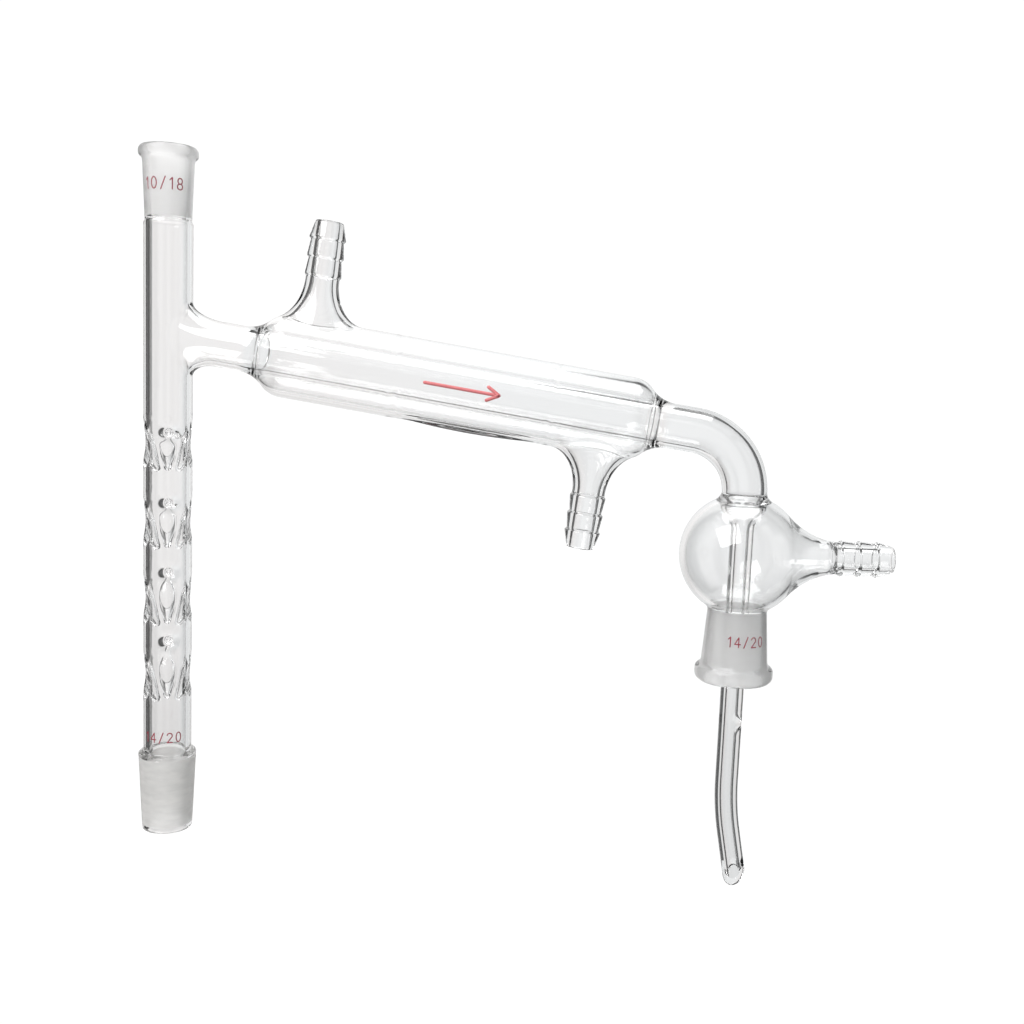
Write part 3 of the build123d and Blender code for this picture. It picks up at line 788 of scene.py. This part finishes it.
def drip_skins(heights):
    """The drip tube's outside and bore down to its slanting tip, and the way it points there."""
    skins = []
    for r, top_r in ((DRIP_R, TUBE_R), (DRIP_BORE_R, BORE_R)):
        start, end = (top_r, -FUNNEL_TOP), (r, -FUNNEL_FOOT)
        narrow = curve(start, (top_r - 0.35, -68.4), (r, -67.6), end, FUNNEL_ROWS)
        skins.append(drip_rings(r, narrow[:-1], heights))
    way = np.array((math.sin(DRIP_BEND), 0, -math.cos(DRIP_BEND)))
    bend_foot = DRIP_BEND_Z - DRIP_BEND_R * math.sin(DRIP_BEND)
    side = DRIP_BEND_R * (1 - math.cos(DRIP_BEND)) + (bend_foot - DRIP_CUT_Z) * math.tan(DRIP_BEND)
    point, normal = np.array((RECEIVER_X + side, 0, DRIP_CUT_Z)), np.array(DRIP_CUT)
    return [np.array(cut_off(rings, way, point, normal)) for rings in skins], way


def make_drip_tube():
    piece = Piece("drip_tube")
    low, high = -VENT_Z - VENT_WINDOW_REACH, -VENT_Z + VENT_WINDOW_REACH
    heights = spaced(-FUNNEL_FOOT, (low, 27), (high, 14), (-DRIP_BEND_Z, 8))
    (skin, bore), way = drip_skins(heights)
    first, last = level(heights, low), level(heights, high)
    funnel = FUNNEL_ROWS - 1
    columns = np.arange(-VENT_WINDOW_HALF, VENT_WINDOW_HALF) % RING_SIDES
    keep = np.ones((len(skin) - 1, RING_SIDES), bool)
    keep[funnel + first : funnel + last, columns] = False
    piece.grid(skin, keep=keep)
    piece.grid(bore, keep=keep, flip=True)
    middle, arm = (skin[-1] + bore[-1]) / 2, (skin[-1] - bore[-1]) / 2
    around = np.linspace(0, math.pi, 12)[:, None, None]
    piece.grid(middle + arm * np.cos(around) + way * LIP_PROUD * np.sin(around))
    piece.seam(skin[0], bore[0], flip=True)
    add_vent(piece, (-VENT_WINDOW_HALF, VENT_WINDOW_HALF, first, last), heights)


def add_vent(piece, window, heights):
    """The vent's hole through the drip tube's wall, with fire-polished lips."""
    axis = Axis((RECEIVER_X, 0, VENT_Z), (1, 0, 0), (0, 0, 1))
    hole = Branch(axis, VENT_R)
    outer_wall = Wall(RECEIVER, cylinder(DRIP_R))
    inner_wall = Wall(RECEIVER, cylinder(DRIP_BORE_R))
    middle = 2.6
    outer = hole.fillet(outer_wall, (1.0, 4.0), (0.3,) * 3, middle, 8)
    inner = hole.fillet(inner_wall, (0.0, 1.5), (2.3, 2.3, 0.28), middle, 16, (0, 0, 0.25))
    outer_loop = window_loop(heights, window, axis, outer_wall)
    inner_loop = window_loop(heights, window, axis, inner_wall)
    patch = wall_patch(outer_wall, outer_loop, outer[0], 6)
    back = wall_patch(inner_wall, inner_loop, inner[0], 5)
    piece.grid(np.concatenate([patch, outer[1:], inner[::-1][1:], back[::-1][1:]]))


# ---- red marks


def arc(cx, cy, rx, ry, start, end, steps=14):
    a = np.radians(np.linspace(start, end, steps))
    return [(cx + rx * math.cos(t), cy + ry * math.sin(t)) for t in a]


# Strokes of each figure in a box one high, with the figure's width
FIGURES = {
    "0": (0.6, [arc(0.3, 0.5, 0.25, 0.5, 0, 360, 30)]),
    "1": (0.36, [[(0.06, 0.78), (0.26, 1.0), (0.26, 0.0)]]),
    "2": (0.6, [arc(0.3, 0.72, 0.25, 0.28, 165, -30, 16) + [(0.05, 0.0), (0.57, 0.0)]]),
    "4": (0.62, [[(0.44, 0.0), (0.44, 1.0), (0.04, 0.3), (0.6, 0.3)]]),
    "8": (0.6, [arc(0.3, 0.74, 0.21, 0.26, -90, 270, 24), arc(0.3, 0.25, 0.25, 0.25, 90, 450, 24)]),
    "/": (0.5, [[(0.05, -0.05), (0.45, 1.05)]]),
    ">": (5.2, [[(0.0, 0.5), (5.0, 0.5)], [(4.3, 0.95), (5.1, 0.5), (4.3, 0.05)]]),
}
STROKE_PROUD = 0.025


def stroke(line, half_width):
    """A painted stroke as left and right edges, with half-round ends."""
    line = split_long(np.array(line, float), 0.12)
    way = unit(np.gradient(line, axis=0))
    cap = np.sin(np.linspace(0, math.pi / 2, 5))
    lengths = -half_width * np.cos(np.linspace(0, math.pi / 2, 5))
    start = [line[0] + way[0] * d for d in lengths[:-1]]
    end = [line[-1] - way[-1] * d for d in lengths[:-1]][::-1]
    centre = np.array(start + list(line) + end)
    way = np.concatenate([[way[0]] * 4, way, [way[-1]] * 4])
    cap = np.maximum(cap[:-1], 0.05)
    width = half_width * np.concatenate([cap, np.ones(len(line)), cap[::-1]])
    out = np.stack([-way[:, 1], way[:, 0]], 1) * width[:, None]
    return centre + out, centre - out


def painted(name, text, height, half_stroke, place):
    """Figures painted on a tube. place turns (across, up) and how proud, in mm, into a point."""
    piece = Piece(name)
    gap = 0.3 * height
    wide = sum(FIGURES[c][0] for c in text) * height + gap * (len(text) - 1)
    x = -wide / 2
    for c in text:
        for line in FIGURES[c][1]:
            left, right = stroke([(x + px * height, py * height) for px, py in line], half_stroke)
            inner = place(np.stack([left, right], 1), 0.0)
            outer = place(np.stack([left, right], 1), STROKE_PROUD)
            ring = np.stack([inner[:, 0], outer[:, 0], outer[:, 1], inner[:, 1]], 1)
            piece.grid(ring)
            for end, flip in ((ring[0], True), (ring[-1], False)):
                piece.grid(np.stack([end[[0, 1]], end[[3, 2]]]), flip=flip, closed=False)
        x += FIGURES[c][0] * height + gap
    return piece


def on_tube(radius, taper, z, facing, x=0.0):
    """Upright figures on an upright tube, whose radius grows by the taper. They face so far from +X."""

    def place(flat, proud):
        r = radius + taper * flat[..., 1] + proud
        turn = facing + flat[..., 0] / radius
        return np.stack([x + r * np.cos(turn), r * np.sin(turn), z + flat[..., 1]], -1)

    return place


def on_jacket(along, facing):
    """Figures along the jacket, centred so far down it."""

    def place(flat, proud):
        return CONDENSER.at(facing - flat[..., 1] / JACKET_R, along + flat[..., 0], JACKET_R + proud)

    return place


# ---- finishes


GLASS_IOR = 1.47
# Painted shade: the clear glass's colour from face on to edge on, darkened edge on in place of the dark
# edge lines that its surroundings give it
PAINTED_EDGE_SHADE = [
    (0.0, (0.99, 0.99, 0.99)), (0.7, (0.97, 0.975, 0.975)),
    (0.9, (0.92, 0.925, 0.925)), (1.0, (0.6, 0.6, 0.6)),
]
# Distances in metres that the bumps stand proud
WAVE_BUMP, GRIT_BUMP, INK_BUMP = 0.00001, 0.00002, 0.00001
# Where the two shades of a frosted or painted surface lie on its noise
SHADE_LOW, SHADE_HIGH = 0.3, 0.7
NODE_SPACING = 220


def supply(tree, socket, value):
    """Feeds an input from another socket, or sets a constant on it."""
    if isinstance(value, bpy.types.NodeSocket):
        tree.links.new(value, socket)
    else:
        socket.default_value = value


def node(tree, kind, inputs=(), **settings):
    """A node with its settings, and its inputs from sockets or constants."""
    made = tree.nodes.new(kind)
    made.location = (NODE_SPACING * len(tree.nodes), 0)
    for name, value in settings.items():
        setattr(made, name, value)
    for name, value in dict(inputs).items():
        supply(tree, made.inputs[name], value)
    return made


def ramp_of(tree, stops, source):
    """A colour ramp through (position, colour) stops."""
    made = node(tree, "ShaderNodeValToRGB", {"Fac": source})
    elements = made.color_ramp.elements
    elements[0].position, elements[-1].position = stops[0][0], stops[-1][0]
    for position, _ in stops[1:-1]:
        elements.new(position)
    for element, (_, colour) in zip(elements, stops):
        element.color = (*colour, 1)
    return made.outputs["Color"]


def new_material(name):
    mat = bpy.data.materials.new(name)
    mat.use_nodes = True
    return mat, mat.node_tree


def shade(mat, inputs):
    """Feeds the material's shader."""
    shader = mat.node_tree.nodes["Principled BSDF"]
    for name, value in inputs.items():
        supply(mat.node_tree, shader.inputs[name], value)
    return mat


def painted_edge_shade(tree, stops):
    """Painted shade: glass that passes less light where it is seen edge on, in place of the dark edge lines
    that dark surroundings give clear glass.
    """
    facing = node(tree, "ShaderNodeLayerWeight", {"Blend": 0.5})
    colour = ramp_of(tree, stops, facing.outputs["Facing"])
    colour.node.color_ramp.interpolation = "EASE"
    return colour


def noise(tree, scale, detail, stretch=(1, 1, 1)):
    where = node(tree, "ShaderNodeTexCoord").outputs["Object"]
    sized = node(tree, "ShaderNodeMapping", {"Vector": where, "Scale": stretch})
    inputs = {"Vector": sized.outputs["Vector"], "Scale": scale, "Detail": detail}
    return node(tree, "ShaderNodeTexNoise", inputs).outputs["Fac"]


def bump(tree, height, distance, strength=1.0):
    inputs = {"Height": height, "Distance": distance, "Strength": strength}
    return node(tree, "ShaderNodeBump", inputs).outputs["Normal"]


def clear_glass():
    """Fire-polished borosilicate: clear, with painted shade that darkens it edge on, and the faint waviness
    of drawn tube.
    """
    mat, tree = new_material("borosilicate_clear")
    inputs = {"Transmission Weight": 1.0, "IOR": GLASS_IOR, "Roughness": 0.0}
    # Painted shade: the colour darkens where the glass is seen edge on
    inputs["Base Color"] = painted_edge_shade(tree, PAINTED_EDGE_SHADE)
    inputs["Normal"] = bump(tree, noise(tree, 60.0, 2.0), WAVE_BUMP)
    return shade(mat, inputs)


def ground_glass(name, clearness, dark, light):
    """Ground joint: a fine, even frost with faint turning marks, between two shades."""
    mat, tree = new_material(name)
    inputs = {"Transmission Weight": clearness, "IOR": GLASS_IOR}
    grain = noise(tree, 9000.0, 3.0)
    patches = noise(tree, 260.0, 3.0, (1, 1, 3))
    inputs["Base Color"] = ramp_of(tree, [(SHADE_LOW, dark), (SHADE_HIGH, light)], patches)
    rough = node(tree, "ShaderNodeMapRange", {"Value": grain, "To Min": 0.45, "To Max": 0.6})
    inputs["Roughness"] = rough.outputs["Result"]
    inputs["Normal"] = bump(tree, grain, GRIT_BUMP, 0.6)
    return shade(mat, inputs)


def fused_seam():
    """The cut between two pieces that are one glass in the real object: nothing is seen there."""
    return shade(new_material("fused_seam")[0], {"Alpha": 0.0, "Roughness": 1.0})


def enamel(name, dark, light):
    """Fired ceramic ink: matt, with a slightly worn, grainy surface."""
    mat, tree = new_material(name)
    grain = noise(tree, 2600.0, 4.0)
    inputs = {"Roughness": 0.55}
    inputs["Base Color"] = ramp_of(tree, [(SHADE_LOW, dark), (SHADE_HIGH, light)], grain)
    inputs["Normal"] = bump(tree, grain, INK_BUMP)
    return shade(mat, inputs)


# ---- into Blender


def shared_normals(pieces):
    """Normals summed over every piece, so that light crosses the seams as in one piece of glass."""
    total = {}
    for points, keys, faces, kinds in pieces:
        sums = np.zeros_like(points)
        for corners in (3, 4):
            picked = np.array([f for f, k in zip(faces, kinds) if len(f) == corners and k != SEAM], int)
            if len(picked) == 0:
                continue
            a, b = points[picked[:, 2]] - points[picked[:, 0]], points[picked[:, -1]] - points[picked[:, 1]]
            normal = np.cross(a, b)
            for c in range(corners):
                np.add.at(sums, picked[:, c], normal)
        for key, normal in zip(map(tuple, keys), sums):
            total[key] = total.get(key, 0) + normal
    return total


def make_mesh(name, points, faces, kinds, materials):
    """A smooth mesh in metres. materials gives the material of each kind of face."""
    mesh = bpy.data.meshes.new(name)
    mesh.from_pydata((points * MM).tolist(), [], faces)
    used = sorted(set(kinds))
    for kind in used:
        mesh.materials.append(materials[kind])
    mesh.polygons.foreach_set("material_index", [used.index(k) for k in kinds])
    mesh.polygons.foreach_set("use_smooth", [True] * len(faces))
    return mesh


def set_normals(mesh, vectors):
    lengths = np.maximum(np.linalg.norm(vectors, axis=1, keepdims=True), 1e-12)
    mesh.normals_split_custom_set_from_vertices((vectors / lengths).tolist())


def build(pieces, finishes, inks):
    """Makes each piece's object. inks gives the material of each painted mark, by name."""
    merged = [piece.merged() for piece in pieces]
    normals = shared_normals(merged)
    for piece, (points, keys, faces, kinds) in zip(pieces, merged):
        painted_mark = piece.name in inks
        materials = {CLEAR: inks[piece.name]} if painted_mark else finishes
        mesh = make_mesh(piece.name, points, faces, kinds, materials)
        if not painted_mark:
            set_normals(mesh, np.array([normals[tuple(k)] for k in keys]))
        mesh.update()
        obj = bpy.data.objects.new(piece.name if painted_mark else piece.name + "_glass", mesh)
        bpy.context.scene.collection.objects.link(obj)
        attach(obj, BODY)
        if piece.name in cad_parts:
            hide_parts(piece.name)


# ---- studio


def standing(x, y, z, place):
    """The matrix of an object with these axes at a place."""
    return Matrix([(x[i], y[i], z[i], place[i]) for i in range(3)] + [(0, 0, 0, 1)])


def make_camera():
    """At the photograph's viewing angle."""
    data = bpy.data.cameras.new("camera")
    data.sensor_width, data.lens = 36.0, 39.12
    data.clip_start, data.clip_end = 0.01, 50
    camera = bpy.data.objects.new("camera", data)
    right = (0.999235, 0.009920, 0.037833)
    up = (-0.038729, 0.115841, 0.992512)
    back = (0.005463, -0.993218, 0.116137)
    place = (0.08954, -0.28197, 0.09984)
    camera.matrix_world = standing(right, up, back, place)
    bpy.context.scene.collection.objects.link(camera)
    bpy.context.scene.camera = camera


# In metres: the floor is small and far below, so that the glass stands against white
FLOOR_HALF, FLOOR_DROP = 0.6, 1.2


def make_floor():
    mesh = bpy.data.meshes.new("floor")
    half, z = FLOOR_HALF, cad_low.z - FLOOR_DROP
    corners = [(-half, -half, z), (half, -half, z), (half, half, z), (-half, half, z)]
    mesh.from_pydata(corners, [], [(0, 1, 2, 3)])
    mat, _ = new_material("pale_floor")
    shade(mat, {"Base Color": (0.85, 0.85, 0.85, 1), "Roughness": 1.0})
    mesh.materials.append(mat)
    floor = bpy.data.objects.new("floor", mesh)
    bpy.context.scene.collection.objects.link(floor)


def spread_over(tree, value, reach):
    """The value's share of the way from -reach to reach."""
    inputs = {"Value": value, "From Min": -reach, "From Max": reach}
    return node(tree, "ShaderNodeMapRange", inputs).outputs["Result"]


def mixed(tree, factor, first, second, blend="MIX"):
    """Two colours mixed, or multiplied, by a factor. Each is a socket or a constant."""
    made = node(tree, "ShaderNodeMix", data_type="RGBA", blend_type=blend)
    colours = [socket for socket in made.inputs if socket.type == "RGBA"]
    for socket, value in zip([made.inputs["Factor"], *colours], (factor, first, second)):
        supply(tree, socket, value)
    return [socket for socket in made.outputs if socket.type == "RGBA"][0]


# The room that the glass refracts, by direction: degrees right of +Y, and sine of the height
WARM, COOL = (1.0, 0.985, 0.98), (0.985, 0.995, 1.0)
ROOM_ROUND = [
    (-180, 1.0, COOL), (-150, 1.0, COOL), (-140, 0.4, COOL), (-125, 0.4, COOL), (-115, 1.0, WARM),
    (-88, 1.0, WARM), (-79, 0.06, WARM), (-40, 0.06, WARM), (-36, 0.95, WARM), (-12, 0.95, WARM),
    (0, 0.97, COOL), (40, 0.97, COOL), (46, 0.1, COOL), (82, 0.1, COOL), (92, 1.0, COOL),
    (125, 1.0, COOL), (132, 0.4, COOL), (148, 0.4, COOL), (158, 1.0, COOL), (180, 1.0, COOL),
]
ROOM_UP = [
    (-1, 0.1), (-0.82, 0.1), (-0.78, 1.0), (-0.55, 0.9), (-0.42, 0.76), (-0.3, 0.78),
    (-0.2, 0.88), (-0.1, 0.92), (0.1, 0.93), (0.3, 1.0), (0.6, 1.2), (1, 1.2),
]
ROOM_UP_RIGHT = [
    (-1, 0.5), (-0.98, 0.03), (-0.7, 0.03), (-0.62, 0.8), (-0.3, 0.78), (-0.2, 0.88),
    (0.1, 0.9), (0.5, 0.85), (0.58, 0.03), (0.94, 0.03), (1, 0.5),
]
# How far each direction round takes its heights from ROOM_UP_RIGHT instead of ROOM_UP
RIGHT_PART = [(-180, 0.0), (11, 0.0), (16, 1.0), (180, 0.0)]


# What the camera sees directly: plain white
BACKDROP = (1.05, 1.05, 1.05, 1)


def grey_stops(stops, low, high):
    """Ramp stops from (value, grey) pairs, with the values from low to high."""
    return [((value - low) / (high - low), (grey,) * 3) for value, grey in stops]


def make_world():
    """A white room with dark panels to the sides, which give the glass its dark lines."""
    world = bpy.data.worlds.new("studio")
    bpy.context.scene.world = world
    world.use_nodes = True
    tree = world.node_tree
    where = node(tree, "ShaderNodeTexCoord").outputs["Generated"]
    x, y, z = node(tree, "ShaderNodeSeparateXYZ", {"Vector": where}).outputs
    turn = node(tree, "ShaderNodeMath", {0: x, 1: y}, operation="ARCTAN2").outputs["Value"]
    rounds = [((angle + 180) / 360, tuple(value * c for c in tone)) for angle, value, tone in ROOM_ROUND]
    round_share, up_share = spread_over(tree, turn, math.pi), spread_over(tree, z, 1.0)
    by_turn = ramp_of(tree, rounds, round_share)
    side = ramp_of(tree, grey_stops(RIGHT_PART, -180, 180), round_share)
    up_left = ramp_of(tree, grey_stops(ROOM_UP, -1, 1), up_share)
    up_right = ramp_of(tree, grey_stops(ROOM_UP_RIGHT, -1, 1), up_share)
    room = mixed(tree, 1.0, by_turn, mixed(tree, side, up_left, up_right), "MULTIPLY")
    path = node(tree, "ShaderNodeLightPath")
    seen = mixed(tree, path.outputs["Is Camera Ray"], room, BACKDROP)
    supply(tree, tree.nodes["Background"].inputs["Color"], seen)


SOFTBOX_AIM = np.array((0.08, 0, 0.07))


def make_softbox(name, place, size, watts):
    """A rectangular area light that faces the glass."""
    data = bpy.data.lights.new(name, "AREA")
    data.shape, data.size, data.size_y, data.energy = "RECTANGLE", *size, watts
    light = bpy.data.objects.new(name, data)
    way = unit(SOFTBOX_AIM - np.array(place, float))
    axis = Axis((0, 0, 0), -way, (1, 0, 0.01))
    light.matrix_world = standing(axis.x, axis.y, axis.z, place)
    bpy.context.scene.collection.objects.link(light)


make_camera()
make_floor()
make_world()
make_softbox("key_softbox", (-0.5, -0.7, 0.9), (0.9, 0.9), watts=16.0)
make_softbox("top_softbox", (0.1, 0.1, 0.9), (0.9, 0.5), watts=6.0)
bpy.context.scene.view_settings.view_transform = "Standard"
# Enough for light to cross the tubes inside tubes
cycles = bpy.context.scene.cycles
cycles.max_bounces = cycles.transmission_bounces = 32
cycles.glossy_bounces = 8
cycles.transparent_max_bounces = 24

make_cone()
plain_tube("column_foot_tube", COLUMN, CONE_SHOULDER, FOOT_TOP, COLUMN_R, COLUMN_BORE_R)
make_vigreux()
make_head_and_side_arm()
make_thermometer_socket()
ring_seal("upper_ring_seal", JACKET_START, 1)
plain_tube("condenser_tube", CONDENSER, JACKET_START, JACKET_END, TUBE_R, BORE_R)
make_jacket_and_necks()
ring_seal("lower_ring_seal", JACKET_END, -1)
make_elbow()
make_bulb_seal()
make_bulb_and_vacuum()
make_drip_tube()
make_receiver_socket()
column_front, receiver_front = math.radians(-85.0), math.radians(-80.0)
painted("mark_thermometer_joint", "10/18", 2.7, 0.14, on_tube(5.97, 0.0426, 143.2, column_front))
painted("mark_flask_joint", "14/20", 2.5, 0.14, on_tube(COLUMN_R, 0.0, 4.4, column_front))
painted("mark_receiver_joint", "14/20", 2.5, 0.14, on_tube(8.1, -0.0697, 35.8, receiver_front, RECEIVER_X))
painted("mark_flow_arrow", ">", 3.6, 0.42, on_jacket(75.7, math.pi / 2 + 0.18))

size_ink = enamel("crimson_enamel", (0.20, 0.018, 0.035), (0.34, 0.05, 0.07))
flow_ink = enamel("pale_red_enamel", (0.50, 0.11, 0.12), (0.60, 0.19, 0.19))
inks = {p.name: size_ink for p in Piece.made if p.name.endswith("_joint")}
inks["mark_flow_arrow"] = flow_ink
finishes = {
    CLEAR: clear_glass(),
    GROUND: ground_glass("ground_cone", 0.6, (0.75, 0.745, 0.73), (0.88, 0.87, 0.85)),
    GROUND_BORE: ground_glass("ground_socket", 0.5, (0.97, 0.965, 0.96), (1.0, 0.997, 0.992)),
    SEAM: fused_seam(),
}
build(Piece.made, finishes, inks)
